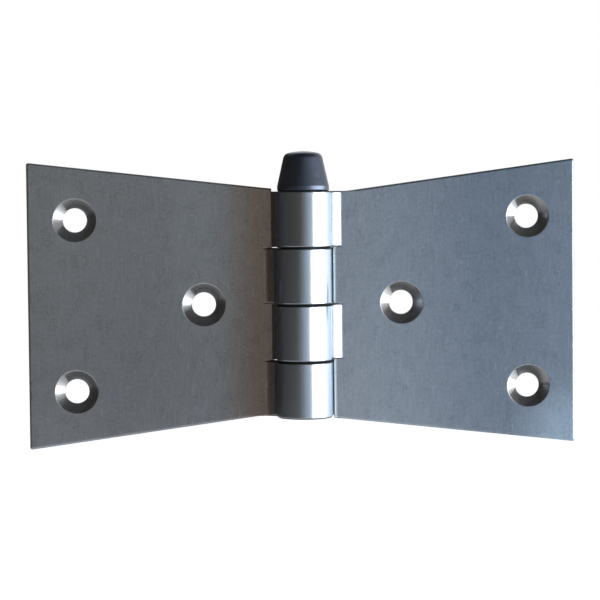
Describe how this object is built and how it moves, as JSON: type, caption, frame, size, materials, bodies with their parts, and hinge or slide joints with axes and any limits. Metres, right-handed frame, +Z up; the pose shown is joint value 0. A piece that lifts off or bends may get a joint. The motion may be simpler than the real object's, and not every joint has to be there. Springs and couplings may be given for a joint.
{
  "type": "dovetail hinge",
  "caption": "Flat steel hinge with flared dovetail leaves, countersunk screw holes, interleaved rolled knuckles and a lift-out pin with a tapered head.",
  "frame": {"origin": "on the pin's axis, level with the lower corners of the leaves", "axes": "+Z up the pin towards its head, +X across the opened leaves towards the right leaf, and -Y towards the side that the screws go in from"},
  "size_m": [0.1, 0.01, 0.0538],
  "materials": {
    "leaf_steel": "plain cold-rolled sheet, lightly oiled",
    "pin_steel": "turned, lightly oiled"
  },
  "bodies": {
    "left_leaf": {"left_leaf": "leaf_steel"},
    "right_leaf": {"right_leaf": "leaf_steel"},
    "pin": {"pin": "pin_steel"}
  },
  "joints": [
    {"name": "leaf_swing", "type": "hinge", "parent": "left_leaf", "child": "right_leaf", "pos_m": [0, 0, 0.0261], "axis": [0, 0, -1], "range_deg": [-85, 180]},
    {"name": "pin_lift", "type": "slide", "parent": "left_leaf", "child": "pin", "axis": [0, 0, 1], "range_m": [0, 0.042]}
  ]
}
